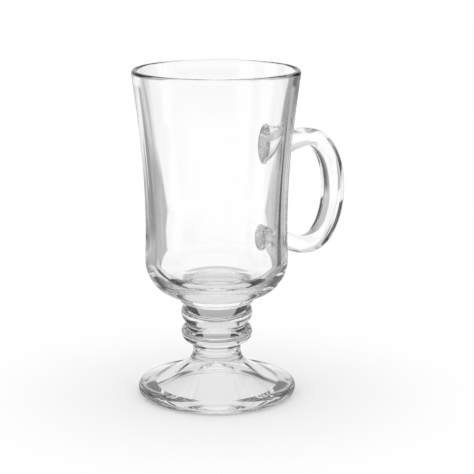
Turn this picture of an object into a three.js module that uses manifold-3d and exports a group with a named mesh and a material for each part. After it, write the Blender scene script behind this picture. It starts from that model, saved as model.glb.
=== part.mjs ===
// Footed glass mug for hot drinks. A flared bowl stands on a thin collar, two ring knops and a short
// stem over a domed foot, and a loop handle is fused to the wall of the bowl.
// Millimetres, +Z up. The origin is the middle of the footprint, on the table. The handle points to +X.
import * as THREE from "three";
import { mergeVertices } from "three/addons/utils/BufferGeometryUtils.js";
import Module from "manifold-3d";

// Foot: a domed disc that stands on a flat ring round a bell-shaped hollow
const FOOT_RADIUS = 36.1;
const FOOT_HEIGHT = 15.5;
const FOOT_EDGE_HEIGHT = 3.2;
const FOOT_SHOULDER_HEIGHT = 6.2;
const FOOT_SHOULDER_INSET = 2.6;
const FOOT_SHOULDER_SLOPE = 17;
const FOOT_RING_INSET = 2.8;
const FOOT_RING_WIDTH = 7;
const FOOT_HOLLOW_DEPTH = 13.5;
const FOOT_HOLLOW_SLOPE = 24;

// Stem: a short neck that flares out to the foot
const STEM_HEIGHT = 8.5;
const STEM_RADIUS = 10.9;
const STEM_STRAIGHT_HEIGHT = 3.5;
const STEM_FLARE_RADIUS = 13.1;
const STEM_FLARE_SLOPE = 50;

// Knops: two rings stacked on the stem, which meet in a groove
const LOWER_KNOP_RADIUS = 16.3;
const LOWER_KNOP_HEIGHT = 9.6;
const LOWER_KNOP_CROWN_HEIGHT = 5.2;
const UPPER_KNOP_RADIUS = 16.4;
const UPPER_KNOP_HEIGHT = 9.1;
const UPPER_KNOP_CROWN_HEIGHT = 4.8;
const KNOP_GROOVE_RADIUS = 13.8;
const KNOP_GROOVE_TURN = 50;
const KNOP_UNDERSIDE_TURN = 86;

// Collar: a thin disc between the upper knop and the bowl, with a lip that stands proud of the bowl's seat
const COLLAR_OVERHANG = 0.9;
const COLLAR_HEIGHT = 3.6;
const COLLAR_LIP_HEIGHT = 1.5;
const COLLAR_LIP_THICKNESS = 1;
const COLLAR_GROOVE_RADIUS = 14.2;

// Bowl: flared above a waist, round below a hip, with a thick base
const BOWL_HEIGHT = 103.7;
const BOWL_SEAT_RADIUS = 16;
const HIP_RADIUS = 32.5;
const HIP_HEIGHT = 16.7;
const WAIST_RADIUS = 32.2;
const WAIST_HEIGHT = 33.7;
const RIM_RADIUS = 38;
const RIM_ROUNDING = 1.6;
const RIM_FLARE_ANGLE = 8;
const WALL_AT_RIM = 2.6;
const WALL_AT_HIP = 4.4;
const CAVITY_CORNER_RADIUS = 9.2;
const CAVITY_FLARE_ANGLE = 10.3;
const BASE_THICKNESS = 8;

// Handle: a bar of rounded section bent to a loop, whose ends flare to the pads that weld it to the wall.
// Heights are above the seat of the bowl, and standoffs are from the waist of the bowl.
const HANDLE_STANDOFF = 49.8;
const GRIP_HEIGHT = 39.7;
const GRIP_THICKNESS = 9.5;
const GRIP_WIDTH = 10.4;
const CREST_STANDOFF = 25.8;
const CREST_HEIGHT = 66.9;
const CREST_THICKNESS = 7.8;
const BELLY_STANDOFF = 27.8;
const BELLY_HEIGHT = 14.7;
const BELLY_THICKNESS = 8.1;
const UPPER_PAD_HEIGHT = 65.9;
const UPPER_PAD_LENGTH = 19;
const UPPER_PAD_FLARE = 28;
const LOWER_PAD_HEIGHT = 21;
const LOWER_PAD_LENGTH = 13.6;
const LOWER_PAD_FLARE = 13;
const PAD_WIDTH = 9.4;
const BAR_SQUARENESS = 3;
const PAD_SQUARENESS = 2;
const WELD_GAP = 0.3;
const WELD_DEPTH = 2;

// Facets
const FACETS_AROUND = 48;
const CURVE_STEPS = 4;
const HANDLE_SIDES = 20;
const HANDLE_STEPS = 10;

// Handles of the smooth curves, as shares of each curve's own run
const FLARE_HOLD = 0.37;
const FLARE_APPROACH = 0.29;
const CAVITY_HOLD = 0.42;
const CAVITY_APPROACH = 0.27;
const ROUND_HOLD = 0.55;
const HOLLOW_HOLD = 0.12;
const HOLLOW_APPROACH = 0.3;

const GLASS_COLOUR = 0xf1f4f4;
const GLASS_ROUGHNESS = 0.04;
const GLASS_OPACITY = 0.35;
const SAME_POINT = 1e-4;

const wasm = await Module();
wasm.setup();

const radians = THREE.MathUtils.degToRad;

function glass() {
  return new THREE.MeshStandardMaterial({
    color: GLASS_COLOUR,
    roughness: GLASS_ROUGHNESS,
    metalness: 0,
    transparent: true,
    opacity: GLASS_OPACITY,
  });
}

function piece(name, geometry, height) {
  const mesh = new THREE.Mesh(geometry, glass());
  mesh.name = name;
  mesh.position.z = height;
  return mesh;
}

// Points of an outline of radius and height, with no point twice
function outlinePoints(path) {
  const kept = [];
  for (const point of path.getPoints(CURVE_STEPS)) {
    if (kept.length === 0 || kept.at(-1).distanceTo(point) > SAME_POINT) {
      kept.push(point);
    }
  }
  return kept;
}

function revolve(points) {
  const geometry = new THREE.LatheGeometry(points, FACETS_AROUND);
  geometry.rotateX(Math.PI / 2);
  return geometry;
}

// An outline that starts on the axis and runs out along a flat seat
function outlineOnSeat(seatRadius) {
  const path = new THREE.Path();
  path.moveTo(0, 0);
  path.lineTo(seatRadius, 0);
  return path;
}

// The flank of a ring below its crown, from a seat up to the crown
function flankBelow(path, seatRadius, seatHeight, crownRadius, crownHeight, turn) {
  const across = (crownRadius - seatRadius) / (1 - Math.cos(turn));
  const up = (crownHeight - seatHeight) / Math.sin(turn);
  path.absellipse(crownRadius - across, crownHeight, across, up, -turn, 0);
}

// The flank of a ring above its crown, from the crown up to a seat
function flankAbove(path, crownRadius, crownHeight, seatRadius, seatHeight, turn) {
  const across = (crownRadius - seatRadius) / (1 - Math.cos(turn));
  const up = (seatHeight - crownHeight) / Math.sin(turn);
  path.absellipse(crownRadius - across, crownHeight, across, up, 0, turn);
}

function footGeometry() {
  const ringOuter = FOOT_RADIUS - FOOT_RING_INSET;
  const hollowRadius = ringOuter - FOOT_RING_WIDTH;
  const hollowRise = FOOT_HOLLOW_DEPTH * HOLLOW_APPROACH;
  const hollowRun = hollowRise / Math.tan(radians(FOOT_HOLLOW_SLOPE));
  const shoulderRadius = FOOT_RADIUS - FOOT_SHOULDER_INSET;
  const topRun = (shoulderRadius - STEM_FLARE_RADIUS) / 3;
  const shoulderRise = topRun * Math.tan(radians(FOOT_SHOULDER_SLOPE));
  const seatRun = (FOOT_HEIGHT - FOOT_SHOULDER_HEIGHT) / 3;
  const path = new THREE.Path();
  path.moveTo(0, FOOT_HOLLOW_DEPTH);
  path.bezierCurveTo(
    hollowRadius * HOLLOW_HOLD, FOOT_HOLLOW_DEPTH,
    hollowRadius - hollowRun, hollowRise,
    hollowRadius, 0,
  );
  path.lineTo(ringOuter, 0);
  path.absellipse(ringOuter, FOOT_EDGE_HEIGHT, FOOT_RING_INSET, FOOT_EDGE_HEIGHT, -Math.PI / 2, 0);
  path.bezierCurveTo(
    FOOT_RADIUS, FOOT_EDGE_HEIGHT + (FOOT_SHOULDER_HEIGHT - FOOT_EDGE_HEIGHT) * ROUND_HOLD,
    shoulderRadius + FOOT_SHOULDER_INSET * ROUND_HOLD,
    FOOT_SHOULDER_HEIGHT - FOOT_SHOULDER_INSET * ROUND_HOLD * Math.tan(radians(FOOT_SHOULDER_SLOPE)),
    shoulderRadius, FOOT_SHOULDER_HEIGHT,
  );
  path.bezierCurveTo(
    shoulderRadius - topRun, FOOT_SHOULDER_HEIGHT + shoulderRise,
    STEM_FLARE_RADIUS + seatRun / Math.tan(radians(STEM_FLARE_SLOPE)), FOOT_HEIGHT - seatRun,
    STEM_FLARE_RADIUS, FOOT_HEIGHT,
  );
  path.lineTo(0, FOOT_HEIGHT);
  return revolve(outlinePoints(path));
}

function stemGeometry() {
  const flareRise = (STEM_FLARE_RADIUS - STEM_RADIUS) * Math.tan(radians(STEM_FLARE_SLOPE));
  const path = outlineOnSeat(STEM_FLARE_RADIUS);
  path.quadraticCurveTo(STEM_RADIUS, flareRise, STEM_RADIUS, STEM_HEIGHT - STEM_STRAIGHT_HEIGHT);
  path.lineTo(STEM_RADIUS, STEM_HEIGHT);
  path.lineTo(0, STEM_HEIGHT);
  return revolve(outlinePoints(path));
}

function lowerKnopGeometry() {
  const path = outlineOnSeat(STEM_RADIUS);
  const underside = radians(KNOP_UNDERSIDE_TURN);
  const groove = radians(KNOP_GROOVE_TURN);
  flankBelow(path, STEM_RADIUS, 0, LOWER_KNOP_RADIUS, LOWER_KNOP_CROWN_HEIGHT, underside);
  flankAbove(
    path, LOWER_KNOP_RADIUS, LOWER_KNOP_CROWN_HEIGHT, KNOP_GROOVE_RADIUS, LOWER_KNOP_HEIGHT, groove,
  );
  path.lineTo(0, LOWER_KNOP_HEIGHT);
  return revolve(outlinePoints(path));
}

function upperKnopGeometry() {
  const path = outlineOnSeat(KNOP_GROOVE_RADIUS);
  const groove = radians(KNOP_GROOVE_TURN);
  flankBelow(path, KNOP_GROOVE_RADIUS, 0, UPPER_KNOP_RADIUS, UPPER_KNOP_CROWN_HEIGHT, groove);
  flankAbove(
    path, UPPER_KNOP_RADIUS, UPPER_KNOP_CROWN_HEIGHT, COLLAR_GROOVE_RADIUS, UPPER_KNOP_HEIGHT, groove,
  );
  path.lineTo(0, UPPER_KNOP_HEIGHT);
  return revolve(outlinePoints(path));
}

function collarGeometry() {
  const lipHalf = COLLAR_LIP_THICKNESS / 2;
  const lipRoot = BOWL_SEAT_RADIUS + COLLAR_OVERHANG - lipHalf;
  const lipBottom = COLLAR_LIP_HEIGHT - lipHalf;
  const path = outlineOnSeat(COLLAR_GROOVE_RADIUS);
  path.quadraticCurveTo(COLLAR_GROOVE_RADIUS, lipBottom, lipRoot, lipBottom);
  path.absarc(lipRoot, COLLAR_LIP_HEIGHT, lipHalf, -Math.PI / 2, Math.PI / 2);
  path.lineTo(BOWL_SEAT_RADIUS, COLLAR_HEIGHT);
  path.lineTo(0, COLLAR_HEIGHT);
  return revolve(outlinePoints(path));
}

// The outer wall of the bowl, from its seat up to where the rim starts to round
function addBowlWall(path) {
  const rimStart = BOWL_HEIGHT - RIM_ROUNDING;
  const hipRun = (WAIST_HEIGHT - HIP_HEIGHT) / 2;
  const flareRun = rimStart - WAIST_HEIGHT;
  const approach = flareRun * FLARE_APPROACH;
  const corner = HIP_RADIUS - BOWL_SEAT_RADIUS;
  path.absellipse(BOWL_SEAT_RADIUS, HIP_HEIGHT, corner, HIP_HEIGHT, -Math.PI / 2, 0);
  path.bezierCurveTo(
    HIP_RADIUS, HIP_HEIGHT + hipRun,
    WAIST_RADIUS, WAIST_HEIGHT - hipRun,
    WAIST_RADIUS, WAIST_HEIGHT,
  );
  path.bezierCurveTo(
    WAIST_RADIUS, WAIST_HEIGHT + flareRun * FLARE_HOLD,
    RIM_RADIUS - approach * Math.tan(radians(RIM_FLARE_ANGLE)), rimStart - approach,
    RIM_RADIUS, rimStart,
  );
}

// The wall of the cavity, from the rim down to the middle of its floor
function addCavity(path) {
  const rimStart = BOWL_HEIGHT - RIM_ROUNDING;
  const cornerTop = BASE_THICKNESS + CAVITY_CORNER_RADIUS;
  const mouthRadius = RIM_RADIUS - WALL_AT_RIM;
  const lowRadius = HIP_RADIUS - WALL_AT_HIP;
  const floorRadius = lowRadius - CAVITY_CORNER_RADIUS;
  const run = rimStart - cornerTop;
  const approach = run * CAVITY_APPROACH;
  path.bezierCurveTo(
    mouthRadius - approach * Math.tan(radians(CAVITY_FLARE_ANGLE)), rimStart - approach,
    lowRadius, cornerTop + run * CAVITY_HOLD,
    lowRadius, cornerTop,
  );
  path.absarc(floorRadius, cornerTop, CAVITY_CORNER_RADIUS, 0, -Math.PI / 2, true);
  path.lineTo(0, BASE_THICKNESS);
}

function bowlGeometry() {
  const lipHalf = WALL_AT_RIM / 2;
  const path = outlineOnSeat(BOWL_SEAT_RADIUS);
  addBowlWall(path);
  path.absellipse(RIM_RADIUS - lipHalf, BOWL_HEIGHT - RIM_ROUNDING, lipHalf, RIM_ROUNDING, 0, Math.PI);
  addCavity(path);
  return revolve(outlinePoints(path));
}

function bowlWallPoints() {
  const path = outlineOnSeat(BOWL_SEAT_RADIUS);
  addBowlWall(path);
  return outlinePoints(path);
}

// Outer radius of the bowl at a height above its seat
function wallRadiusAt(height) {
  const points = bowlWallPoints();
  const above = points.findIndex((point, index) => index > 1 && point.y >= height);
  const low = points[above - 1];
  const high = points[above];
  return THREE.MathUtils.mapLinear(height, low.y, high.y, low.x, high.x);
}

// A solid of the whole bowl, grown by the weld gap, that trims the ends of the handle to the wall
function weldCutter() {
  const [axisPoint, ...wall] = bowlWallPoints();
  const points = [axisPoint];
  for (const point of wall) {
    points.push(new THREE.Vector2(point.x + WELD_GAP, point.y));
  }
  points.push(new THREE.Vector2(0, points.at(-1).y));
  return revolve(points);
}

// The middle line of the handle, from the upper weld over the crest, grip and belly to the lower weld
function handleLine() {
  const at = (reach, height) => new THREE.Vector3(reach, 0, height);
  const upperWall = wallRadiusAt(UPPER_PAD_HEIGHT);
  const lowerWall = wallRadiusAt(LOWER_PAD_HEIGHT);
  const crest = WAIST_RADIUS + CREST_STANDOFF;
  const belly = WAIST_RADIUS + BELLY_STANDOFF;
  const grip = WAIST_RADIUS + HANDLE_STANDOFF - GRIP_THICKNESS / 2;
  const upperRun = (crest - upperWall) / 2;
  const lowerRun = (belly - lowerWall) / 2;
  const line = new THREE.CurvePath();
  line.add(new THREE.LineCurve3(
    at(upperWall - WELD_DEPTH, UPPER_PAD_HEIGHT), at(upperWall, UPPER_PAD_HEIGHT),
  ));
  line.add(new THREE.CubicBezierCurve3(
    at(upperWall, UPPER_PAD_HEIGHT), at(upperWall + upperRun, UPPER_PAD_HEIGHT),
    at(crest - upperRun, CREST_HEIGHT), at(crest, CREST_HEIGHT),
  ));
  line.add(new THREE.CubicBezierCurve3(
    at(crest, CREST_HEIGHT), at(crest + (grip - crest) * ROUND_HOLD, CREST_HEIGHT),
    at(grip, GRIP_HEIGHT + (CREST_HEIGHT - GRIP_HEIGHT) * ROUND_HOLD), at(grip, GRIP_HEIGHT),
  ));
  line.add(new THREE.CubicBezierCurve3(
    at(grip, GRIP_HEIGHT), at(grip, GRIP_HEIGHT - (GRIP_HEIGHT - BELLY_HEIGHT) * ROUND_HOLD),
    at(belly + (grip - belly) * ROUND_HOLD, BELLY_HEIGHT), at(belly, BELLY_HEIGHT),
  ));
  line.add(new THREE.CubicBezierCurve3(
    at(belly, BELLY_HEIGHT), at(belly - lowerRun, BELLY_HEIGHT),
    at(lowerWall + lowerRun, LOWER_PAD_HEIGHT), at(lowerWall, LOWER_PAD_HEIGHT),
  ));
  line.add(new THREE.LineCurve3(
    at(lowerWall, LOWER_PAD_HEIGHT), at(lowerWall - WELD_DEPTH, LOWER_PAD_HEIGHT),
  ));
  return line;
}

// How much of the flare is left at a distance from the wall: all of it at the wall, none past its length
function flareLeft(distance, flareLength) {
  return (1 - THREE.MathUtils.clamp(distance / flareLength, 0, 1)) ** 2;
}

// Stations along the handle: the point, the way the line runs, and the size and shape of the section
function handleStations() {
  const [weldIn, upperBar, shoulder, underGrip, lowerBar, weldOut] = handleLine().curves;
  const spans = [
    { curve: weldIn, steps: 1, from: CREST_THICKNESS, to: CREST_THICKNESS },
    { curve: upperBar, steps: HANDLE_STEPS, from: CREST_THICKNESS, to: CREST_THICKNESS },
    { curve: shoulder, steps: HANDLE_STEPS, from: CREST_THICKNESS, to: GRIP_THICKNESS },
    { curve: underGrip, steps: HANDLE_STEPS, from: GRIP_THICKNESS, to: BELLY_THICKNESS },
    { curve: lowerBar, steps: HANDLE_STEPS, from: BELLY_THICKNESS, to: BELLY_THICKNESS },
    { curve: weldOut, steps: 1, from: BELLY_THICKNESS, to: BELLY_THICKNESS },
  ];
  const upperWall = upperBar.v0.x;
  const lowerWall = lowerBar.v3.x;
  const stations = [];
  for (const { curve, steps, from, to } of spans) {
    const first = stations.length === 0 ? 0 : 1;
    for (let step = first; step <= steps; step += 1) {
      const share = step / steps;
      const point = curve.getPoint(share);
      const bar = from + (to - from) * THREE.MathUtils.smoothstep(share, 0, 1);
      const upper = point.z > GRIP_HEIGHT ? flareLeft(point.x - upperWall, UPPER_PAD_FLARE) : 0;
      const lower = point.z < GRIP_HEIGHT ? flareLeft(point.x - lowerWall, LOWER_PAD_FLARE) : 0;
      stations.push({
        point,
        along: curve.getTangent(share),
        thickness: bar + (UPPER_PAD_LENGTH - bar) * upper + (LOWER_PAD_LENGTH - bar) * lower,
        width: GRIP_WIDTH + (PAD_WIDTH - GRIP_WIDTH) * (upper + lower),
        squareness: BAR_SQUARENESS + (PAD_SQUARENESS - BAR_SQUARENESS) * (upper + lower),
      });
    }
  }
  return stations;
}

// A place across the section: on an oval at a squareness of 2, with flattened sides above that
function flattened(share, squareness) {
  return Math.sign(share) * Math.abs(share) ** (2 / squareness);
}

// The section carried along the stations, closed by a fan at each end
function handleBar() {
  const positions = [];
  const triangles = [];
  const stations = handleStations();
  for (const { point, along, thickness, width, squareness } of stations) {
    const outward = new THREE.Vector3(-along.z, 0, along.x);
    for (let side = 0; side < HANDLE_SIDES; side += 1) {
      const angle = (side / HANDLE_SIDES) * 2 * Math.PI;
      const up = flattened(Math.cos(angle), squareness) * thickness / 2;
      const across = flattened(Math.sin(angle), squareness) * width / 2;
      const place = point.clone().addScaledVector(outward, up);
      positions.push(place.x, place.y + across, place.z);
    }
  }
  for (let ring = 0; ring + 1 < stations.length; ring += 1) {
    for (let side = 0; side < HANDLE_SIDES; side += 1) {
      const next = (side + 1) % HANDLE_SIDES;
      const a = ring * HANDLE_SIDES + side;
      const b = ring * HANDLE_SIDES + next;
      triangles.push(a, a + HANDLE_SIDES, b, b, a + HANDLE_SIDES, b + HANDLE_SIDES);
    }
  }
  const last = (stations.length - 1) * HANDLE_SIDES;
  for (let side = 1; side + 1 < HANDLE_SIDES; side += 1) {
    triangles.push(0, side, side + 1, last, last + side + 1, last + side);
  }
  const geometry = new THREE.BufferGeometry();
  geometry.setAttribute("position", new THREE.Float32BufferAttribute(positions, 3));
  geometry.setIndex(triangles);
  return geometry;
}

function toSolid(geometry) {
  const bare = geometry.clone();
  bare.deleteAttribute("normal");
  bare.deleteAttribute("uv");
  const merged = mergeVertices(bare, SAME_POINT);
  const triVerts = [];
  for (let corner = 0; corner < merged.index.count; corner += 3) {
    const [a, b, c] = merged.index.array.slice(corner, corner + 3);
    if (a !== b && b !== c && c !== a) {
      triVerts.push(a, b, c);
    }
  }
  const mesh = new wasm.Mesh({
    numProp: 3,
    vertProperties: new Float32Array(merged.attributes.position.array),
    triVerts: new Uint32Array(triVerts),
  });
  return new wasm.Manifold(mesh);
}

function toGeometry(solid) {
  const mesh = solid.getMesh();
  const geometry = new THREE.BufferGeometry();
  geometry.setAttribute("position", new THREE.Float32BufferAttribute(mesh.vertProperties, 3));
  geometry.setIndex(new THREE.Uint32BufferAttribute(mesh.triVerts, 1));
  geometry.computeVertexNormals();
  return geometry;
}

function handleGeometry() {
  return toGeometry(toSolid(handleBar()).subtract(toSolid(weldCutter())));
}

// Each piece stands on the one below it, so a change of one height lifts all that it carries
const stemSeat = FOOT_HEIGHT;
const lowerKnopSeat = stemSeat + STEM_HEIGHT;
const upperKnopSeat = lowerKnopSeat + LOWER_KNOP_HEIGHT;
const collarSeat = upperKnopSeat + UPPER_KNOP_HEIGHT;
const bowlSeat = collarSeat + COLLAR_HEIGHT;

const cup = new THREE.Group();
cup.position.z = bowlSeat;
cup.add(piece("bowl", bowlGeometry(), 0));
cup.add(piece("handle", handleGeometry(), 0));

const mug = new THREE.Group();
mug.position.x = (RIM_RADIUS - WAIST_RADIUS - HANDLE_STANDOFF) / 2;
mug.add(piece("foot", footGeometry(), 0));
mug.add(piece("stem", stemGeometry(), stemSeat));
mug.add(piece("lower_knop", lowerKnopGeometry(), lowerKnopSeat));
mug.add(piece("upper_knop", upperKnopGeometry(), upperKnopSeat));
mug.add(piece("merese_collar", collarGeometry(), collarSeat));
mug.add(cup);

export default mug;
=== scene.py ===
import math

import bmesh
import bpy
from mathutils import Matrix, Vector


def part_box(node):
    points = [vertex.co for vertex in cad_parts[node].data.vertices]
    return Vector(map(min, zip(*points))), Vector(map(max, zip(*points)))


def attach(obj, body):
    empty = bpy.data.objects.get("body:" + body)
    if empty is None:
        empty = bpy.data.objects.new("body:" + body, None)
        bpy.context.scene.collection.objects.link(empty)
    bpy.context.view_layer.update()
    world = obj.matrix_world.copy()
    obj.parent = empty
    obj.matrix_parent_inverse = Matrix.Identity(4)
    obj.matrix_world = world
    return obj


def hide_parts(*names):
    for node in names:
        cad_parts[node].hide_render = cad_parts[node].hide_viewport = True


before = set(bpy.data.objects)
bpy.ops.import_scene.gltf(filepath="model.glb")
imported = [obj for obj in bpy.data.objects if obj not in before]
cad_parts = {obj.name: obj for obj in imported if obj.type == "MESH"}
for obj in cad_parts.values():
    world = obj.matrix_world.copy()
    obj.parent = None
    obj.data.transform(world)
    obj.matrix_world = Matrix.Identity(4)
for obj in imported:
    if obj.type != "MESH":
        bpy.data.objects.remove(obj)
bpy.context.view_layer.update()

MM = 0.001
BODY = "root"

# Places and outer sizes, read from the frame, in millimetres
bowl_low, bowl_high = (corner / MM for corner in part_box("bowl"))
stem_low, stem_high = (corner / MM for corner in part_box("stem"))
lower_knop_low, lower_knop_high = (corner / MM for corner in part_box("lower_knop"))
upper_knop_low, upper_knop_high = (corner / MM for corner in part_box("upper_knop"))
collar_low, collar_high = (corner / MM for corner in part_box("merese_collar"))
_, foot_high = (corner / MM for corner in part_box("foot"))
_, handle_high = (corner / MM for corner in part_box("handle"))
AXIS_X = (bowl_low.x + bowl_high.x) / 2
RIM_RADIUS = bowl_high.x - AXIS_X
FOOT_RADIUS = foot_high.x - AXIS_X
LOWER_KNOP_RADIUS = lower_knop_high.x - AXIS_X
UPPER_KNOP_RADIUS = upper_knop_high.x - AXIS_X
COLLAR_RADIUS = collar_high.x - AXIS_X
STEM_FLARE_RADIUS = stem_high.x - AXIS_X
HANDLE_REACH = handle_high.x - AXIS_X

# Foot
FOOT_EDGE_HEIGHT = 3.2
FOOT_SHOULDER_HEIGHT = 6.2
FOOT_SHOULDER_INSET = 2.6
FOOT_SHOULDER_SLOPE = math.radians(17)
FOOT_RING_INSET = 2.8
FOOT_RING_WIDTH = 7.0
FOOT_HOLLOW_DEPTH = 13.5
FOOT_HOLLOW_SLOPE = math.radians(24)

# Stem, knops and collar
STEM_RADIUS = 10.9
STEM_STRAIGHT_HEIGHT = 3.5
STEM_FLARE_SLOPE = math.radians(50)
LOWER_KNOP_CROWN_HEIGHT = 5.2
UPPER_KNOP_CROWN_HEIGHT = 4.8
KNOP_GROOVE_RADIUS = 13.8
KNOP_GROOVE_TURN = 50
KNOP_UNDERSIDE_TURN = 86
COLLAR_LIP_HEIGHT = 1.5
COLLAR_LIP_THICKNESS = 1.0
COLLAR_GROOVE_RADIUS = 14.2

# Bowl
BOWL_SEAT_RADIUS = 16.0
HIP_RADIUS = 32.5
HIP_HEIGHT = 16.7
WAIST_RADIUS = 32.2
WAIST_HEIGHT = 33.7
RIM_ROUNDING = 1.6
RIM_FLARE_ANGLE = math.radians(8)
WALL_AT_RIM = 2.6
WALL_AT_HIP = 4.4
CAVITY_CORNER_RADIUS = 9.2
CAVITY_FLARE_ANGLE = math.radians(10.3)
BASE_THICKNESS = 8.0
FLOOR_RISE = 2.5

# Handle: heights above the seat of the bowl, standoffs from the waist of the bowl
GRIP_HEIGHT = 39.7
GRIP_THICKNESS = 9.5
GRIP_WIDTH = 10.4
CREST_STANDOFF = 25.8
CREST_HEIGHT = 66.9
CREST_THICKNESS = 7.8
BELLY_STANDOFF = 27.8
BELLY_HEIGHT = 14.7
BELLY_THICKNESS = 8.1
UPPER_PAD_HEIGHT = 65.9
UPPER_PAD_LENGTH = 19.0
UPPER_PAD_FLARE = 28.0
LOWER_PAD_HEIGHT = 21.0
LOWER_PAD_LENGTH = 13.6
LOWER_PAD_FLARE = 13.0
PAD_WIDTH = 9.4
WELD_DEPTH = 2.0
BAR_SQUARENESS = 3.0
PAD_SQUARENESS = 2.0

# Handles of the smooth curves, as shares of each curve's own run
FLARE_HOLD = 0.37
FLARE_APPROACH = 0.29
CAVITY_HOLD = 0.42
CAVITY_APPROACH = 0.27
ROUND_HOLD = 0.55
HOLLOW_HOLD = 0.12
HOLLOW_APPROACH = 0.3

# Fineness of the meshes
AROUND = 192
ROWS_PER_CURVE = 14
WIDEST_ARC = 46
WALL_SEARCH_STEPS = 112
HANDLE_SIDES = 64
HANDLE_STEPS = 26
CREASE_ANGLE = math.radians(25)
AXIS_THREAD = 1e-6
SAME_POINT = 4e-6

# Clear soda-lime glass, and the length and height of the faint waves in its pressed surfaces
GLASS_TINT = (0.995, 0.997, 0.996, 1)
GLASS_IOR = 1.5
BOWL_WAVES = (24, 0.03)
RING_WAVES = (8, 0.01)
FOOT_WAVES = (14, 0.03)
HANDLE_WAVES = (10, 0.01)

# Camera, fitted to the rim and the foot in the photograph
CAMERA_TURN = math.radians(-43.2)
CAMERA_DISTANCE = 750.0
CAMERA_HEIGHT = 242.0
CAMERA_PITCH = math.radians(12.68)
CAMERA_AIM_RIGHT = math.radians(0.71)
CAMERA_LENS = 128.2
CAMERA_SENSOR = 36.0

# Studio. The camera sees white, and the glass sees cards of many greys. White gaps between the cards keep
# the bowl clear from other sides. Azimuths are degrees to the right of the camera's line of sight, heights
# are degrees above the table, and distances are metres from the mug's axis.
SOFT_LIGHT = 1.05
PAPER_WHITE = 0.95
LIGHT_BOUNCES = 32
FLOOR_RADIUS = 6.0
FLOOR_SIDES = 96
FLOOR_DROP = 0.0002

# Cards that stand round the table, from its far edge upwards: pairs of an azimuth and a grey
FAR_GREYS = (
    (-180, 1), (-122, 1), (-118, 0.5), (-106, 0.5), (-102, 1), (-78, 1), (-76, 0.1), (-56, 0.1),
    (-54, 1), (-21, 1), (-20, 0.75), (-17, 0.75), (-16, 1), (16, 1), (17, 0.4), (33, 0.1),
    (80, 0.1), (82, 1), (102, 1), (104, 0.5), (140, 1), (180, 1),
)
LOW_GREYS = (
    (-180, 0.1), (-147, 0.1), (-145, 0.9), (-121, 0.9), (-119, 0.1), (-105, 0.1), (-103, 0.9),
    (-74, 0.9), (-72, 0.06), (-58, 0.06), (-56, 0.7), (-31, 0.7), (-29, 0.06), (-27, 0.06),
    (-25, 0.75), (25, 0.75), (27, 0.06), (75, 0.06), (77, 0.9), (106, 0.9), (108, 0.1), (180, 0.1),
)
MID_GREYS = (
    (-180, 0.1), (-150, 0.15), (-30, 0.15), (-24, 0.75), (24, 0.75), (30, 0.15), (150, 0.15), (180, 0.1),
)
CEILING_GREY = 0.9

# Heights where the next of these cards starts, and how softly
LOW_START = 4.0
MID_START = 15.0
CEILING_START = 50.0
LAYER_BLEND = 2.0
CEILING_BLEND = 8.0

# Cards that lie on the table, from the foot outwards: a dark ring, then pairs of an azimuth and a grey
RING_GREY = 0.05
NEAR_GREYS = (
    (-180, 0.9), (-119, 0.9), (-117, 0.1), (-105, 0.1), (-103, 0.9), (-74, 0.9), (-71, 0.1), (-58, 0.1),
    (-56, 0.8), (-30, 0.8), (-28, 0.4), (74, 0.4), (77, 0.9), (107, 0.9), (109, 0.1), (140, 0.1),
    (150, 0.9), (180, 0.9),
)
TABLE_GREYS = (
    (-180, 1), (-74, 1), (-72, 0.15), (-57, 0.15), (-54, 0.3), (-36, 0.3), (-30, 0.25), (-29, 0.44),
    (0, 0.5), (10, 0.5), (14, 0.6), (43, 0.6), (46, 0.06), (74, 0.06), (77, 1), (180, 1),
)

# Strip of paper under the foot and behind the mug, by distance: its greys, the azimuth of its edges, and
# the azimuth where the grey card on its left ends. White paper lies past that card, up to its own end.
# The strip's greys out to 0.083 m are painted shade: the mug's shadow on the paper under and near its
# foot, as the glass sees it.
STRIP_GREYS_WITH_PAINTED_SHADE = ((0, 0.8), (0.034, 0.8), (0.05, 0.55), (0.055, 0.45), (0.075, 0.45), (0.083, 1), (1, 1))
STRIP_EDGES = (
    (0, 16), (0.07, 16), (0.085, 26), (0.15, 26), (0.25, 17), (0.36, 12.5), (0.6, 14), (0.9, 16.5),
    (1.2, 16.5),
)
GREY_EDGES = ((0, 60), (0.3, 50), (0.4, 34), (0.6, 27), (0.9, 22), (1.2, 20.5))
GREY_END = (-37, -35)
EDGE_BLEND = 0.8
WIDEST_EDGE = 90

# Distances over which the painted shadow under the foot (the mat), the dark ring, the near cards, the
# table and the shadow end
PAINTED_SHADOW_MAT_EDGE = (0.0335, 0.0365)
RING_EDGE = (0.06, 0.066)
TABLE_EDGE = (0.15, 0.3)
FAR_EDGE = (0.47, 0.6)
SHADOW_EDGE = (0.05, 0.14)


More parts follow.
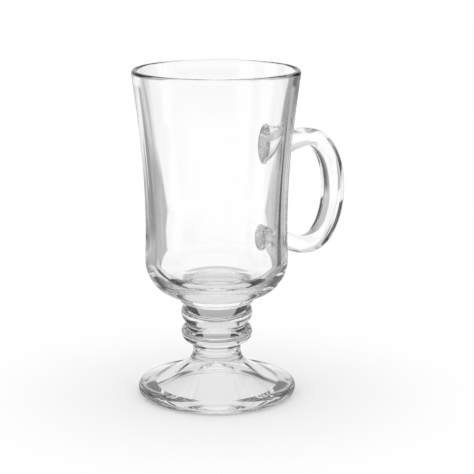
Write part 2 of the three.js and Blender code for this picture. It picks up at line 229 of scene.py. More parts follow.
class Outline:
    """A line of radius against height, in millimetres, drawn from curve to curve."""

    def __init__(self, radius, height):
        self.stops = [Vector((radius, height))]
        self.pulls = []

    def curve(self, leave, arrive, end):
        self.pulls.append((Vector(leave), Vector(arrive)))
        self.stops.append(Vector(end))

    def line(self, radius, height):
        start = self.stops[-1]
        end = Vector((radius, height))
        self.curve(start.lerp(end, 1 / 3), start.lerp(end, 2 / 3), end)

    def bend(self, corner, end):
        """A curve that leaves towards a corner and arrives from it."""
        start = self.stops[-1]
        self.curve(start.lerp(Vector(corner), 2 / 3), Vector(end).lerp(Vector(corner), 2 / 3), end)

    def oval(self, centre, across, up, first, last):
        """An arc of an oval, between two angles in degrees."""
        steps = max(1, math.ceil(abs(last - first) / WIDEST_ARC))
        turn = math.radians(last - first) / steps
        hold = 4 / 3 * math.tan(turn / 4)
        middle = Vector(centre)
        for step in range(steps):
            start = math.radians(first) + turn * step
            end = start + turn
            leave = middle + Vector((across * math.cos(start), up * math.sin(start)))
            arrive = middle + Vector((across * math.cos(end), up * math.sin(end)))
            leave_way = Vector((-across * math.sin(start), up * math.cos(start)))
            arrive_way = Vector((-across * math.sin(end), up * math.cos(end)))
            self.curve(leave + leave_way * hold, arrive - arrive_way * hold, arrive)


def flank_below(outline, seat, crown, turn):
    """The flank of a ring from its seat up to its crown."""
    across = (crown.x - seat.x) / (1 - math.cos(math.radians(turn)))
    up = (crown.y - seat.y) / math.sin(math.radians(turn))
    outline.oval((crown.x - across, crown.y), across, up, -turn, 0)


def flank_above(outline, crown, seat, turn):
    """The flank of a ring from its crown up to its seat."""
    across = (crown.x - seat.x) / (1 - math.cos(math.radians(turn)))
    up = (seat.y - crown.y) / math.sin(math.radians(turn))
    outline.oval((crown.x - across, crown.y), across, up, 0, turn)


def foot_outline():
    ring_outer = FOOT_RADIUS - FOOT_RING_INSET
    hollow = ring_outer - FOOT_RING_WIDTH
    shoulder = FOOT_RADIUS - FOOT_SHOULDER_INSET
    top_run = (shoulder - STEM_FLARE_RADIUS) / 3
    seat_run = (foot_high.z - FOOT_SHOULDER_HEIGHT) / 3
    shoulder_rise = math.tan(FOOT_SHOULDER_SLOPE)
    hollow_rise = FOOT_HOLLOW_DEPTH * HOLLOW_APPROACH
    hollow_run = hollow_rise / math.tan(FOOT_HOLLOW_SLOPE)
    outline = Outline(0, FOOT_HOLLOW_DEPTH)
    outline.curve(
        (hollow * HOLLOW_HOLD, FOOT_HOLLOW_DEPTH), (hollow - hollow_run, hollow_rise), (hollow, 0)
    )
    outline.line(ring_outer, 0)
    outline.oval((ring_outer, FOOT_EDGE_HEIGHT), FOOT_RING_INSET, FOOT_EDGE_HEIGHT, -90, 0)
    outline.curve(
        (FOOT_RADIUS, FOOT_EDGE_HEIGHT + (FOOT_SHOULDER_HEIGHT - FOOT_EDGE_HEIGHT) * ROUND_HOLD),
        (
            shoulder + FOOT_SHOULDER_INSET * ROUND_HOLD,
            FOOT_SHOULDER_HEIGHT - FOOT_SHOULDER_INSET * ROUND_HOLD * shoulder_rise,
        ),
        (shoulder, FOOT_SHOULDER_HEIGHT),
    )
    outline.curve(
        (shoulder - top_run, FOOT_SHOULDER_HEIGHT + top_run * shoulder_rise),
        (STEM_FLARE_RADIUS + seat_run / math.tan(STEM_FLARE_SLOPE), foot_high.z - seat_run),
        (STEM_FLARE_RADIUS, foot_high.z),
    )
    return outline


def stem_outline():
    flare_rise = (STEM_FLARE_RADIUS - STEM_RADIUS) * math.tan(STEM_FLARE_SLOPE)
    outline = Outline(STEM_FLARE_RADIUS, stem_low.z)
    outline.bend(
        (STEM_RADIUS, stem_low.z + flare_rise), (STEM_RADIUS, stem_high.z - STEM_STRAIGHT_HEIGHT)
    )
    outline.line(STEM_RADIUS, stem_high.z)
    return outline


def lower_knop_outline():
    seat = Vector((STEM_RADIUS, lower_knop_low.z))
    crown = Vector((LOWER_KNOP_RADIUS, lower_knop_low.z + LOWER_KNOP_CROWN_HEIGHT))
    outline = Outline(*seat)
    flank_below(outline, seat, crown, KNOP_UNDERSIDE_TURN)
    flank_above(outline, crown, Vector((KNOP_GROOVE_RADIUS, lower_knop_high.z)), KNOP_GROOVE_TURN)
    return outline


def upper_knop_outline():
    seat = Vector((KNOP_GROOVE_RADIUS, upper_knop_low.z))
    crown = Vector((UPPER_KNOP_RADIUS, upper_knop_low.z + UPPER_KNOP_CROWN_HEIGHT))
    outline = Outline(*seat)
    flank_below(outline, seat, crown, KNOP_GROOVE_TURN)
    flank_above(outline, crown, Vector((COLLAR_GROOVE_RADIUS, upper_knop_high.z)), KNOP_GROOVE_TURN)
    return outline


def collar_outline():
    lip_half = COLLAR_LIP_THICKNESS / 2
    lip_root = COLLAR_RADIUS - lip_half
    lip = collar_low.z + COLLAR_LIP_HEIGHT
    outline = Outline(COLLAR_GROOVE_RADIUS, collar_low.z)
    outline.bend((COLLAR_GROOVE_RADIUS, lip - lip_half), (lip_root, lip - lip_half))
    outline.oval((lip_root, lip), lip_half, lip_half, -90, 90)
    outline.line(BOWL_SEAT_RADIUS, collar_high.z)
    return outline


def draw_bowl_wall(outline):
    """The outer wall of the bowl, from its seat up to where the rim starts to round."""
    seat = bowl_low.z
    rim_start = bowl_high.z - RIM_ROUNDING
    hip = seat + HIP_HEIGHT
    waist = seat + WAIST_HEIGHT
    hip_run = (waist - hip) / 2
    flare_run = rim_start - waist
    approach = flare_run * FLARE_APPROACH
    outline.oval((BOWL_SEAT_RADIUS, hip), HIP_RADIUS - BOWL_SEAT_RADIUS, HIP_HEIGHT, -90, 0)
    outline.curve((HIP_RADIUS, hip + hip_run), (WAIST_RADIUS, waist - hip_run), (WAIST_RADIUS, waist))
    outline.curve(
        (WAIST_RADIUS, waist + flare_run * FLARE_HOLD),
        (RIM_RADIUS - approach * math.tan(RIM_FLARE_ANGLE), rim_start - approach),
        (RIM_RADIUS, rim_start),
    )


def bowl_outline():
    floor = bowl_low.z + BASE_THICKNESS
    corner_top = floor + CAVITY_CORNER_RADIUS
    rim_start = bowl_high.z - RIM_ROUNDING
    lip_half = WALL_AT_RIM / 2
    mouth = RIM_RADIUS - WALL_AT_RIM
    low_radius = HIP_RADIUS - WALL_AT_HIP
    floor_radius = low_radius - CAVITY_CORNER_RADIUS
    run = rim_start - corner_top
    approach = run * CAVITY_APPROACH
    outline = Outline(BOWL_SEAT_RADIUS, bowl_low.z)
    draw_bowl_wall(outline)
    outline.oval((RIM_RADIUS - lip_half, rim_start), lip_half, RIM_ROUNDING, 0, 180)
    outline.curve(
        (mouth - approach * math.tan(CAVITY_FLARE_ANGLE), rim_start - approach),
        (low_radius, corner_top + run * CAVITY_HOLD),
        (low_radius, corner_top),
    )
    outline.oval((floor_radius, corner_top), CAVITY_CORNER_RADIUS, CAVITY_CORNER_RADIUS, 0, -90)
    middle = floor + FLOOR_RISE
    outline.curve((floor_radius * 2 / 3, floor), (floor_radius / 3, middle), (0, middle))
    return outline


def outline_object(name, outline):
    """The outline as a Bezier curve, with its radius along X and its depth along Y."""
    data = bpy.data.curves.new(name, "CURVE")
    data.dimensions = "3D"
    spline = data.splines.new("BEZIER")
    spline.resolution_u = ROWS_PER_CURVE
    spline.bezier_points.add(len(outline.stops) - 1)
    for index, (point, stop) in enumerate(zip(spline.bezier_points, outline.stops)):
        before = outline.pulls[index - 1][1] if index > 0 else stop
        after = outline.pulls[index][0] if index < len(outline.pulls) else stop
        point.handle_left_type = point.handle_right_type = "FREE"
        point.co = (stop.x * MM, -stop.y * MM, 0)
        point.handle_left = (before.x * MM, -before.y * MM, 0)
        point.handle_right = (after.x * MM, -after.y * MM, 0)
    thing = bpy.data.objects.new(name, data)
    bpy.context.scene.collection.objects.link(thing)
    return thing


def feed(tree, socket, value):
    """Sets an input of a node, or links it where the value is another node's output."""
    if isinstance(value, bpy.types.NodeSocket):
        tree.links.new(value, socket)
    else:
        socket.default_value = value


def add_node(tree, kind, **values):
    """A node with its named inputs fed."""
    node = tree.nodes.new(kind)
    for name, value in values.items():
        feed(tree, node.inputs[name.replace("_", " ")], value)
    return node


def math_node(tree, operation, *values):
    """The result of a Math node, from numbers or other nodes' outputs."""
    node = tree.nodes.new("ShaderNodeMath")
    node.operation = operation
    for socket, value in zip(node.inputs, values):
        feed(tree, socket, value)
    return node.outputs["Value"]


def vector_node(tree, operation, *values):
    """The result of a Vector Math node."""
    node = tree.nodes.new("ShaderNodeVectorMath")
    node.operation = operation
    for socket, value in zip(node.inputs, values):
        feed(tree, socket, value)
    return node.outputs["Value" if operation == "LENGTH" else "Vector"]


def turned_glass_tree():
    """Geometry Nodes that turn an outline round the mug's axis and close its seats with weld faces."""
    tree = bpy.data.node_groups.new("turned_glass", "GeometryNodeTree")
    tree.interface.new_socket("Geometry", in_out="OUTPUT", socket_type="NodeSocketGeometry")
    for name, kind in (
        ("Outline", "Object"),
        ("Around", "Int"),
        ("Axis X", "Float"),
        ("Lower Seat Radius", "Float"),
        ("Lower Seat Height", "Float"),
        ("Upper Seat Radius", "Float"),
        ("Upper Seat Height", "Float"),
        ("Glass", "Material"),
        ("Weld", "Material"),
    ):
        tree.interface.new_socket(name, in_out="INPUT", socket_type=f"NodeSocket{kind}")
    sizes = tree.nodes.new("NodeGroupInput").outputs
    line = add_node(tree, "GeometryNodeObjectInfo", Object=sizes["Outline"])
    thread = add_node(
        tree, "GeometryNodeCurvePrimitiveCircle", Resolution=sizes["Around"], Radius=AXIS_THREAD
    )
    upright = add_node(tree, "GeometryNodeSetCurveNormal", Curve=thread.outputs["Curve"])
    upright.mode = "Z_UP"
    wall = add_node(
        tree,
        "GeometryNodeCurveToMesh",
        Curve=upright.outputs["Curve"],
        Profile_Curve=line.outputs["Geometry"],
    )
    shown = add_node(
        tree, "GeometryNodeSetMaterial", Geometry=wall.outputs["Mesh"], Material=sizes["Glass"]
    )
    join = tree.nodes.new("GeometryNodeJoinGeometry")
    tree.links.new(shown.outputs["Geometry"], join.inputs["Geometry"])
    for side in ("Lower", "Upper"):
        disc = add_node(
            tree,
            "GeometryNodeMeshCircle",
            Vertices=sizes["Around"],
            Radius=sizes[f"{side} Seat Radius"],
        )
        disc.fill_type = "NGON"
        height = add_node(tree, "ShaderNodeCombineXYZ", Z=sizes[f"{side} Seat Height"])
        placed = add_node(
            tree,
            "GeometryNodeTransform",
            Geometry=disc.outputs["Mesh"],
            Translation=height.outputs["Vector"],
        )
        fused = add_node(
            tree, "GeometryNodeSetMaterial", Geometry=placed.outputs["Geometry"], Material=sizes["Weld"]
        )
        there = math_node(tree, "GREATER_THAN", sizes[f"{side} Seat Radius"], 0.0)
        choice = tree.nodes.new("GeometryNodeSwitch")
        choice.input_type = "GEOMETRY"
        tree.links.new(there, choice.inputs["Switch"])
        tree.links.new(fused.outputs["Geometry"], choice.inputs["True"])
        tree.links.new(choice.outputs["Output"], join.inputs["Geometry"])
    closed = add_node(
        tree, "GeometryNodeMergeByDistance", Geometry=join.outputs["Geometry"], Distance=SAME_POINT
    )
    across = add_node(tree, "ShaderNodeCombineXYZ", X=sizes["Axis X"])
    placed = add_node(
        tree,
        "GeometryNodeTransform",
        Geometry=closed.outputs["Geometry"],
        Translation=across.outputs["Vector"],
    )
    real = add_node(tree, "GeometryNodeRealizeInstances", Geometry=placed.outputs["Geometry"])
    out = tree.nodes.new("NodeGroupOutput")
    tree.links.new(real.outputs["Geometry"], out.inputs["Geometry"])
    return tree


def set_input(modifier, name, value):
    """Sets a Geometry Nodes input by its identifier."""
    for item in modifier.node_group.interface.items_tree:
        if item.item_type == "SOCKET" and item.in_out == "INPUT" and item.name == name:
            modifier[item.identifier] = value


def plain_mesh(thing):
    """The evaluated mesh of an object, with its modifiers applied."""
    bpy.context.view_layer.update()
    shown = thing.evaluated_get(bpy.context.evaluated_depsgraph_get())
    return bpy.data.meshes.new_from_object(shown)


def turned_piece(tree, name, outline, lower_seat, upper_seat, glass, weld):
    """A piece of glass turned from its outline. A seat is a radius and a height, or None."""
    line = outline_object(f"{name}_outline", outline)
    piece = bpy.data.objects.new(f"glass_{name}", bpy.data.meshes.new(f"glass_{name}"))
    bpy.context.scene.collection.objects.link(piece)
    modifier = piece.modifiers.new("turned_glass", "NODES")
    modifier.node_group = tree
    set_input(modifier, "Outline", line)
    set_input(modifier, "Around", AROUND)
    set_input(modifier, "Axis X", AXIS_X * MM)
    for side, seat in (("Lower", lower_seat), ("Upper", upper_seat)):
        if seat:
            set_input(modifier, f"{side} Seat Radius", seat[0] * MM)
            set_input(modifier, f"{side} Seat Height", seat[1] * MM)
    set_input(modifier, "Glass", glass)
    set_input(modifier, "Weld", weld)
    mesh = plain_mesh(piece)
    piece.modifiers.clear()
    piece.data = mesh
    bpy.data.objects.remove(line)
    face_outwards(piece)
    return piece


def face_outwards(piece):
    """Points the faces of a closed piece outwards."""
    shape = bmesh.new()
    shape.from_mesh(piece.data)
    bmesh.ops.recalc_face_normals(shape, faces=shape.faces)
    shape.to_mesh(piece.data)
    shape.free()


def smooth_glass(piece, weld):
    """Shades the glass smooth, and its weld faces flat so that they don't bend what is beside them."""
    welds = [index for index, material in enumerate(piece.data.materials) if material == weld]
    piece.data.set_sharp_from_angle(angle=CREASE_ANGLE)
    for face in piece.data.polygons:
        face.use_smooth = face.material_index not in welds


def bezier_point(points, share):
    """A point and the way it runs, on a cubic curve through four points."""
    a, b, c, d = (Vector(point) for point in points)
    left = 1 - share
    place = a * left**3 + b * 3 * share * left**2 + c * 3 * share**2 * left + d * share**3
    way = (b - a) * left**2 + (c - b) * 2 * share * left + (d - c) * share**2
    return place, way.normalized()


def wall_radius_at(height):
    """Outer radius of the bowl at a height above its seat, from the curves of its wall."""
    wall = Outline(BOWL_SEAT_RADIUS, bowl_low.z)
    draw_bowl_wall(wall)
    nearest = None
    for start, (leave, arrive), end in zip(wall.stops, wall.pulls, wall.stops[1:]):
        for step in range(WALL_SEARCH_STEPS + 1):
            point, _ = bezier_point((start, leave, arrive, end), step / WALL_SEARCH_STEPS)
            gap = abs(point.y - bowl_low.z - height)
            if nearest is None or gap < nearest[0]:
                nearest = (gap, point.x)
    return nearest[1]


def smoothstep(share):
    """A share that starts and ends level."""
    return share * share * (3 - 2 * share)


def handle_stations():
    """Points along the middle of the handle, with the way it runs there and its section."""
    upper_wall = wall_radius_at(UPPER_PAD_HEIGHT)
    lower_wall = wall_radius_at(LOWER_PAD_HEIGHT)
    crest = (WAIST_RADIUS + CREST_STANDOFF, CREST_HEIGHT)
    belly = (WAIST_RADIUS + BELLY_STANDOFF, BELLY_HEIGHT)
    grip = (HANDLE_REACH - GRIP_THICKNESS / 2, GRIP_HEIGHT)
    upper = (upper_wall, UPPER_PAD_HEIGHT)
    lower = (lower_wall, LOWER_PAD_HEIGHT)
    upper_run = (crest[0] - upper_wall) / 2
    lower_run = (belly[0] - lower_wall) / 2
    curves = (
        (upper, (upper_wall + upper_run, upper[1]), (crest[0] - upper_run, crest[1]), crest),
        (
            crest,
            (crest[0] + (grip[0] - crest[0]) * ROUND_HOLD, crest[1]),
            (grip[0], grip[1] + (crest[1] - grip[1]) * ROUND_HOLD),
            grip,
        ),
        (
            grip,
            (grip[0], grip[1] - (grip[1] - belly[1]) * ROUND_HOLD),
            (belly[0] + (grip[0] - belly[0]) * ROUND_HOLD, belly[1]),
            belly,
        ),
        (belly, (belly[0] - lower_run, belly[1]), (lower_wall + lower_run, lower[1]), lower),
    )
    bars = (CREST_THICKNESS, CREST_THICKNESS, GRIP_THICKNESS, BELLY_THICKNESS, BELLY_THICKNESS)
    start = Vector((upper_wall - WELD_DEPTH, upper[1]))
    stations = [(start, Vector((1, 0)), UPPER_PAD_LENGTH, PAD_WIDTH, PAD_SQUARENESS)]
    for number, curve in enumerate(curves):
        for step in range(1 if number else 0, HANDLE_STEPS + 1):
            share = step / HANDLE_STEPS
            point, way = bezier_point(curve, share)
            bar = bars[number] + (bars[number + 1] - bars[number]) * smoothstep(share)
            if point.y > GRIP_HEIGHT:
                near = flare_left(point.x - upper_wall, UPPER_PAD_FLARE)
                thickness = bar + (UPPER_PAD_LENGTH - bar) * near
            else:
                near = flare_left(point.x - lower_wall, LOWER_PAD_FLARE)
                thickness = bar + (LOWER_PAD_LENGTH - bar) * near
            width = GRIP_WIDTH + (PAD_WIDTH - GRIP_WIDTH) * near
            squareness = BAR_SQUARENESS + (PAD_SQUARENESS - BAR_SQUARENESS) * near
            stations.append((point, way, thickness, width, squareness))
    end = Vector((lower_wall - WELD_DEPTH, lower[1]))
    stations.append((end, Vector((-1, 0)), LOWER_PAD_LENGTH, PAD_WIDTH, PAD_SQUARENESS))
    return stations


def flare_left(distance, flare):
    """How much of a pad's flare is left at a distance from the wall."""
    return (1 - min(max(distance / flare, 0), 1)) ** 2


def flattened(share, squareness):
    """A place across a section: on an oval at a squareness of 2, with flattened sides above that."""
    return math.copysign(abs(share) ** (2 / squareness), share)


def handle_bar(glass):
    """The drawn bar of the handle, whose two ends reach into the wall of the bowl."""
    shape = bmesh.new()
    rings = []
    for point, way, thickness, width, squareness in handle_stations():
        outward = Vector((-way.y, way.x))
        ring = []
        for side in range(HANDLE_SIDES):
            angle = 2 * math.pi * side / HANDLE_SIDES
            place = point + outward * (flattened(math.cos(angle), squareness) * thickness / 2)
            across = flattened(math.sin(angle), squareness) * width / 2
            spot = Vector((AXIS_X + place.x, across, bowl_low.z + place.y)) * MM
            ring.append(shape.verts.new(spot))
        rings.append(ring)
    for ring, following in zip(rings, rings[1:]):
        for side in range(HANDLE_SIDES):
            after = (side + 1) % HANDLE_SIDES
            shape.faces.new((ring[side], ring[after], following[after], following[side]))
    shape.faces.new(rings[0])
    shape.faces.new(rings[-1])
    bmesh.ops.recalc_face_normals(shape, faces=shape.faces)
    mesh = bpy.data.meshes.new("glass_handle")
    shape.to_mesh(mesh)
    shape.free()
    mesh.materials.append(glass)
    bar = bpy.data.objects.new("glass_handle", mesh)
    bpy.context.scene.collection.objects.link(bar)
    return bar


def combined(base, tool, operation):
    """The mesh of one solid cut, joined or crossed with another."""
    modifier = base.modifiers.new("weld", "BOOLEAN")
    modifier.operation = operation
    modifier.object = tool
    modifier.solver = "EXACT"
    modifier.material_mode = "TRANSFER"
    mesh = plain_mesh(base)
    base.modifiers.clear()
    return mesh


def keep_faces(shape, mesh, wanted, index):
    """Adds to a shape the faces of a mesh that have a material, with their new material index."""
    part = bmesh.new()
    part.from_mesh(mesh)
    slots = list(mesh.materials)
    others = [face for face in part.faces if slots[face.material_index] not in wanted]
    bmesh.ops.delete(part, geom=others, context="FACES")
    for face in part.faces:
        face.material_index = index(slots[face.material_index])
    kept = bpy.data.meshes.new("kept")
    part.to_mesh(kept)
    part.free()
    shape.from_mesh(kept)


def weld_handle(bowl, handle, bowl_glass, handle_glass, weld):
    """Trims the handle to the wall of the bowl, and marks on both the two faces where they are fused."""
    cut = combined(bowl, handle, "DIFFERENCE")
    plug = combined(bowl, handle, "INTERSECT")
    trimmed = combined(handle, bowl, "DIFFERENCE")
    shape = bmesh.new()
    keep_faces(shape, cut, (bowl_glass, weld), lambda material: 0 if material == bowl_glass else 1)
    keep_faces(shape, plug, (bowl_glass,), lambda material: 1)
    bmesh.ops.remove_doubles(shape, verts=shape.verts, dist=SAME_POINT)
    bmesh.ops.recalc_face_normals(shape, faces=shape.faces)
    shape.to_mesh(bowl.data)
    shape.free()
    bowl.data.materials.clear()
    bowl.data.materials.append(bowl_glass)
    bowl.data.materials.append(weld)
    slots = list(trimmed.materials)
    handle.data = trimmed
    for face in trimmed.polygons:
        face.material_index = 0 if slots[face.material_index] == handle_glass else 1
    trimmed.materials.clear()
    trimmed.materials.append(handle_glass)
    trimmed.materials.append(weld)


def pressed_surface_group():
    """The faint waves that a mould leaves in glass, as a height in metres."""
    group = bpy.data.node_groups.new("pressed_surface", "ShaderNodeTree")
    for name, kind in (("Place", "Vector"), ("Wave Length", "Float"), ("Wave Height", "Float")):
        group.interface.new_socket(name, in_out="INPUT", socket_type=f"NodeSocket{kind}")
    group.interface.new_socket("Height", in_out="OUTPUT", socket_type="NodeSocketFloat")
    given = group.nodes.new("NodeGroupInput").outputs
    fineness = math_node(group, "DIVIDE", 1.0, given["Wave Length"])
    waves = add_node(group, "ShaderNodeTexNoise", Vector=given["Place"], Scale=fineness, Detail=1.0)
    height = math_node(group, "MULTIPLY", waves.outputs["Fac"], given["Wave Height"])
    out = group.nodes.new("NodeGroupOutput")
    group.links.new(height, out.inputs["Height"])
    return group


def clear_glass(name, surface, wave_length, wave_height):
    """Clear glass whose surface has faint waves, with their length and height in millimetres."""
    material = bpy.data.materials.new(name)
    material.use_nodes = True
    tree = material.node_tree
    shader = tree.nodes["Principled BSDF"]
    shader.inputs["Base Color"].default_value = GLASS_TINT
    shader.inputs["Roughness"].default_value = 0.0
    shader.inputs["IOR"].default_value = GLASS_IOR
    shader.inputs["Transmission Weight"].default_value = 1.0
    place = tree.nodes.new("ShaderNodeTexCoord").outputs["Object"]
    waves = tree.nodes.new("ShaderNodeGroup")
    waves.node_tree = surface
    tree.links.new(place, waves.inputs["Place"])
    waves.inputs["Wave Length"].default_value = wave_length * MM
    waves.inputs["Wave Height"].default_value = wave_height * MM
    bump = add_node(tree, "ShaderNodeBump", Height=waves.outputs["Height"], Strength=1.0, Distance=1.0)
    tree.links.new(bump.outputs["Normal"], shader.inputs["Normal"])
    return material


def fused_weld():
    """The inside of a weld, where glass runs into glass and nothing shows."""
    material = bpy.data.materials.new("fused_weld")
    material.use_nodes = True
    nodes = material.node_tree.nodes
    nodes.remove(nodes["Principled BSDF"])
    clear = nodes.new("ShaderNodeBsdfTransparent")
    material.node_tree.links.new(clear.outputs["BSDF"], nodes["Material Output"].inputs["Surface"])
    return material


def rising_share(tree, value, low, high):
    """A smooth share from 0 at the low value to 1 at the high one."""
    node = add_node(tree, "ShaderNodeMapRange", Value=value, From_Min=low, From_Max=high)
    node.interpolation_type = "SMOOTHSTEP"
    return node.outputs["Result"]


def grey_ramp(tree, value, stops):
    """Greys by a value, from pairs of a value and a grey."""
    first, last = stops[0][0], stops[-1][0]
    share = math_node(tree, "DIVIDE", math_node(tree, "SUBTRACT", value, first), last - first)
    node = add_node(tree, "ShaderNodeValToRGB", Fac=share)
    marks = node.color_ramp.elements
    marks.remove(marks[-1])
    for number, (place, grey) in enumerate(stops):
        mark = marks[0] if number == 0 else marks.new((place - first) / (last - first))
        mark.color = (grey, grey, grey, 1)
    return node.outputs["Color"]


def mixed_colour(tree, share, first, second):
    """One colour or grey running into another by a share."""
    node = tree.nodes.new("ShaderNodeMix")
    node.data_type = "RGBA"
    sockets = {socket.identifier: socket for socket in node.inputs}
    feed(tree, sockets["Factor_Float"], share)
    for name, colour in (("A_Color", first), ("B_Color", second)):
        feed(tree, sockets[name], (colour, colour, colour, 1) if isinstance(colour, float) else colour)
    return next(socket for socket in node.outputs if socket.identifier == "Result_Color")


def mixed_shader(tree, share, first, second):
    """One shader running into another by a share."""
    node = add_node(tree, "ShaderNodeMixShader", Fac=share)
    tree.links.new(first, node.inputs[1])
    tree.links.new(second, node.inputs[2])
    return node.outputs["Shader"]


def seen_by_ray(tree, by_light, by_glass, by_camera):
    """What light, the glass and the camera see of the studio. Glass lit by the table sees plain light."""
    path = tree.nodes.new("ShaderNodeLightPath")
    mirrored = path.outputs["Is Glossy Ray"]
    bent = path.outputs["Is Transmission Ray"]
    glass = math_node(tree, "MAXIMUM", mirrored, bent)
    direct = math_node(tree, "LESS_THAN", path.outputs["Diffuse Depth"], 0.5)
    light_or_glass = mixed_shader(tree, math_node(tree, "MULTIPLY", glass, direct), by_light, by_glass)
    return mixed_shader(tree, path.outputs["Is Camera Ray"], light_or_glass, by_camera)


def azimuth_of(tree, direction):
    """Degrees that a direction lies to the right of the camera's line of sight."""
    apart = add_node(tree, "ShaderNodeSeparateXYZ", Vector=direction)
    azimuth = math_node(tree, "ARCTAN2", apart.outputs["X"], apart.outputs["Y"])
    turned = math_node(tree, "WRAP", math_node(tree, "ADD", azimuth, CAMERA_TURN), math.pi, -math.pi)
    return math_node(tree, "MULTIPLY", turned, math.degrees(1))


def past_edge(tree, azimuth, distance, edges):
    """A share that rises from 0 to 1 where an azimuth passes an edge, which turns with the distance."""
    share = grey_ramp(tree, distance, [(place, degrees / WIDEST_EDGE) for place, degrees in edges])
    past = math_node(tree, "SUBTRACT", azimuth, math_node(tree, "MULTIPLY", share, WIDEST_EDGE))
    return rising_share(tree, past, -EDGE_BLEND, EDGE_BLEND)


def studio_world():
    """Soft light all round, white for the camera, and standing cards for the glass."""
    world = bpy.data.worlds.new("studio")
    bpy.context.scene.world = world
    world.use_nodes = True
    tree = world.node_tree
    tree.nodes.clear()
    direction = tree.nodes.new("ShaderNodeTexCoord").outputs["Generated"]
    apart = add_node(tree, "ShaderNodeSeparateXYZ", Vector=direction)
    height = math_node(tree, "MULTIPLY", math_node(tree, "ARCSINE", apart.outputs["Z"]), math.degrees(1))
    azimuth = azimuth_of(tree, direction)
    room = grey_ramp(tree, azimuth, FAR_GREYS)
    for start, greys in ((LOW_START, LOW_GREYS), (MID_START, MID_GREYS)):
        above = rising_share(tree, height, start - LAYER_BLEND, start + LAYER_BLEND)
        room = mixed_colour(tree, above, room, grey_ramp(tree, azimuth, greys))
    above = rising_share(tree, height, CEILING_START - CEILING_BLEND, CEILING_START + CEILING_BLEND)
    room = mixed_colour(tree, above, room, CEILING_GREY)
    soft = add_node(tree, "ShaderNodeBackground", Color=(1, 1, 1, 1), Strength=SOFT_LIGHT)
    backdrop = add_node(tree, "ShaderNodeBackground", Color=room, Strength=1.0)
    white = add_node(tree, "ShaderNodeBackground", Color=(1, 1, 1, 1), Strength=1.0)
    seen = seen_by_ray(
        tree, soft.outputs["Background"], backdrop.outputs["Background"], white.outputs["Background"]
    )
    out = tree.nodes.new("ShaderNodeOutputWorld")
    tree.links.new(seen, out.inputs["Surface"])


def studio_floor():
    """A white table that keeps the shadow of the mug, and shows the glass the cards that lie on it and a
    painted shadow of the mug on the paper under and near its foot.
    """
    bpy.ops.mesh.primitive_circle_add(
        vertices=FLOOR_SIDES, radius=FLOOR_RADIUS, fill_type="NGON", location=(0, 0, -FLOOR_DROP)
    )
    floor = bpy.context.object
    floor.name = "floor"
    material = bpy.data.materials.new("white_floor")
    material.use_nodes = True
    tree = material.node_tree
    tree.nodes.clear()
    place = tree.nodes.new("ShaderNodeNewGeometry").outputs["Position"]
    offset = vector_node(tree, "SUBTRACT", place, (AXIS_X * MM, 0, 0))
    distance = vector_node(tree, "LENGTH", offset)
    azimuth = azimuth_of(tree, offset)
    table = RING_GREY
    for edge, greys in ((RING_EDGE, NEAR_GREYS), (TABLE_EDGE, TABLE_GREYS)):
        outside = rising_share(tree, distance, *edge)
        table = mixed_colour(tree, outside, table, grey_ramp(tree, azimuth, greys))
    leftward = math_node(tree, "MULTIPLY", azimuth, -1)
    past_grey = past_edge(tree, leftward, distance, GREY_EDGES)
    white_left = math_node(tree, "MULTIPLY", past_grey, rising_share(tree, azimuth, *GREY_END))
    table = mixed_colour(tree, white_left, table, 1.0)
    beside = past_edge(tree, math_node(tree, "ABSOLUTE", azimuth), distance, STRIP_EDGES)
    # Under the foot the strip's grey runs all round: painted shadow of the foot on the paper, seen through
    # the glass.
    beside = math_node(tree, "MULTIPLY", beside, rising_share(tree, distance, *PAINTED_SHADOW_MAT_EDGE))
    near = mixed_colour(tree, beside, grey_ramp(tree, distance, STRIP_GREYS_WITH_PAINTED_SHADE), table)
    far = rising_share(tree, distance, *FAR_EDGE)
    room = mixed_colour(tree, far, near, grey_ramp(tree, azimuth, FAR_GREYS))
    paper = add_node(tree, "ShaderNodeBsdfDiffuse", Color=(PAPER_WHITE, PAPER_WHITE, PAPER_WHITE, 1))
    shown = add_node(tree, "ShaderNodeEmission", Color=room, Strength=1.0)
    white = add_node(tree, "ShaderNodeEmission", Color=(1, 1, 1, 1), Strength=1.0)
    past_shadow = rising_share(tree, distance, *SHADOW_EDGE)
    by_camera = mixed_shader(tree, past_shadow, paper.outputs["BSDF"], white.outputs["Emission"])
    seen = seen_by_ray(tree, paper.outputs["BSDF"], shown.outputs["Emission"], by_camera)
    out = tree.nodes.new("ShaderNodeOutputMaterial")
    tree.links.new(seen, out.inputs["Surface"])
    floor.data.materials.append(material)


def photograph_camera():
    """The camera of the photograph, aimed a little to the right of the mug's axis."""
    data = bpy.data.cameras.new("camera")
    data.lens = CAMERA_LENS
    data.sensor_width = CAMERA_SENSOR
    camera = bpy.data.objects.new("camera", data)
    bpy.context.scene.collection.objects.link(camera)
    place = Vector((
        AXIS_X + math.sin(CAMERA_TURN) * CAMERA_DISTANCE,
        -math.cos(CAMERA_TURN) * CAMERA_DISTANCE,
        CAMERA_HEIGHT,
    ))
    turn = Matrix.Rotation(CAMERA_TURN - CAMERA_AIM_RIGHT, 4, "Z")
    tilt = Matrix.Rotation(math.pi / 2 - CAMERA_PITCH, 4, "X")
    camera.matrix_world = Matrix.Translation(place * MM) @ turn @ tilt
    bpy.context.scene.camera = camera


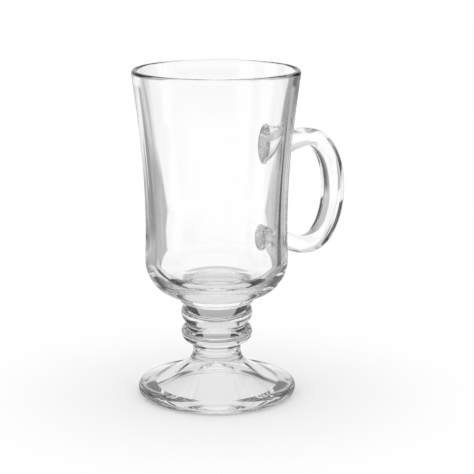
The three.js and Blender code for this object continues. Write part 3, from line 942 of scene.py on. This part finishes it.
photograph_camera()

weld = fused_weld()
surface = pressed_surface_group()
bowl_glass = clear_glass("bowl_glass", surface, *BOWL_WAVES)
collar_glass = clear_glass("collar_glass", surface, *RING_WAVES)
knop_glass = clear_glass("knop_glass", surface, *RING_WAVES)
stem_glass = clear_glass("stem_glass", surface, *RING_WAVES)
foot_glass = clear_glass("foot_glass", surface, *FOOT_WAVES)
handle_glass = clear_glass("handle_glass", surface, *HANDLE_WAVES)

tree = turned_glass_tree()
pieces = {}
for name, outline, lower_seat, upper_seat, glass in (
    ("foot", foot_outline(), None, (STEM_FLARE_RADIUS, foot_high.z), foot_glass),
    ("stem", stem_outline(), (STEM_FLARE_RADIUS, stem_low.z), (STEM_RADIUS, stem_high.z), stem_glass),
    (
        "lower_knop",
        lower_knop_outline(),
        (STEM_RADIUS, lower_knop_low.z),
        (KNOP_GROOVE_RADIUS, lower_knop_high.z),
        knop_glass,
    ),
    (
        "upper_knop",
        upper_knop_outline(),
        (KNOP_GROOVE_RADIUS, upper_knop_low.z),
        (COLLAR_GROOVE_RADIUS, upper_knop_high.z),
        knop_glass,
    ),
    (
        "merese_collar",
        collar_outline(),
        (COLLAR_GROOVE_RADIUS, collar_low.z),
        (BOWL_SEAT_RADIUS, collar_high.z),
        collar_glass,
    ),
    ("bowl", bowl_outline(), (BOWL_SEAT_RADIUS, bowl_low.z), None, bowl_glass),
):
    pieces[name] = turned_piece(tree, name, outline, lower_seat, upper_seat, glass, weld)
pieces["handle"] = handle_bar(handle_glass)
weld_handle(pieces["bowl"], pieces["handle"], bowl_glass, handle_glass, weld)

for node, piece in pieces.items():
    smooth_glass(piece, weld)
    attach(piece, BODY)
    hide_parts(node)

studio_world()
studio_floor()

paths = bpy.context.scene.cycles
paths.max_bounces = LIGHT_BOUNCES
paths.transmission_bounces = LIGHT_BOUNCES
paths.glossy_bounces = LIGHT_BOUNCES
paths.transparent_max_bounces = LIGHT_BOUNCES
view = bpy.context.scene.view_settings
view.view_transform = "Standard"
